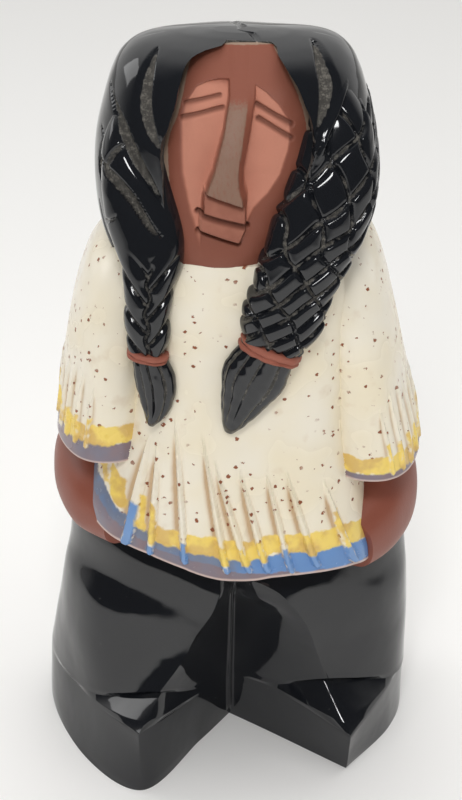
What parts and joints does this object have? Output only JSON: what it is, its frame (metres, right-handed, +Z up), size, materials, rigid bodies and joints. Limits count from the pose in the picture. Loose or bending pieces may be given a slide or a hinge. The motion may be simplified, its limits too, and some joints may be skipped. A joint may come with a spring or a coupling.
{
  "type": "terracotta figure",
  "caption": "Standing carved clay figure with long braided hair, fringed shirt with bell sleeves, hands in pockets, wide glossy trousers and pointed boots.",
  "frame": {"origin": "middle of the bounding box at the underside, on the surface that the figure stands on", "axes": "+Z up, -Y the way the figure faces, +X to the right of someone looking at its face"},
  "size_m": [0.1458, 0.1086, 0.2866],
  "materials": {
    "glazed_clay": "hand-glazed terracotta: gloss black hair and trousers, satin cream shirt with rust specks and yellow and blue bands, bare red-brown clay on the face and forearms"
  },
  "bodies": {
    "root": {"figure": "glazed_clay"}
  },
  "joints": []
}
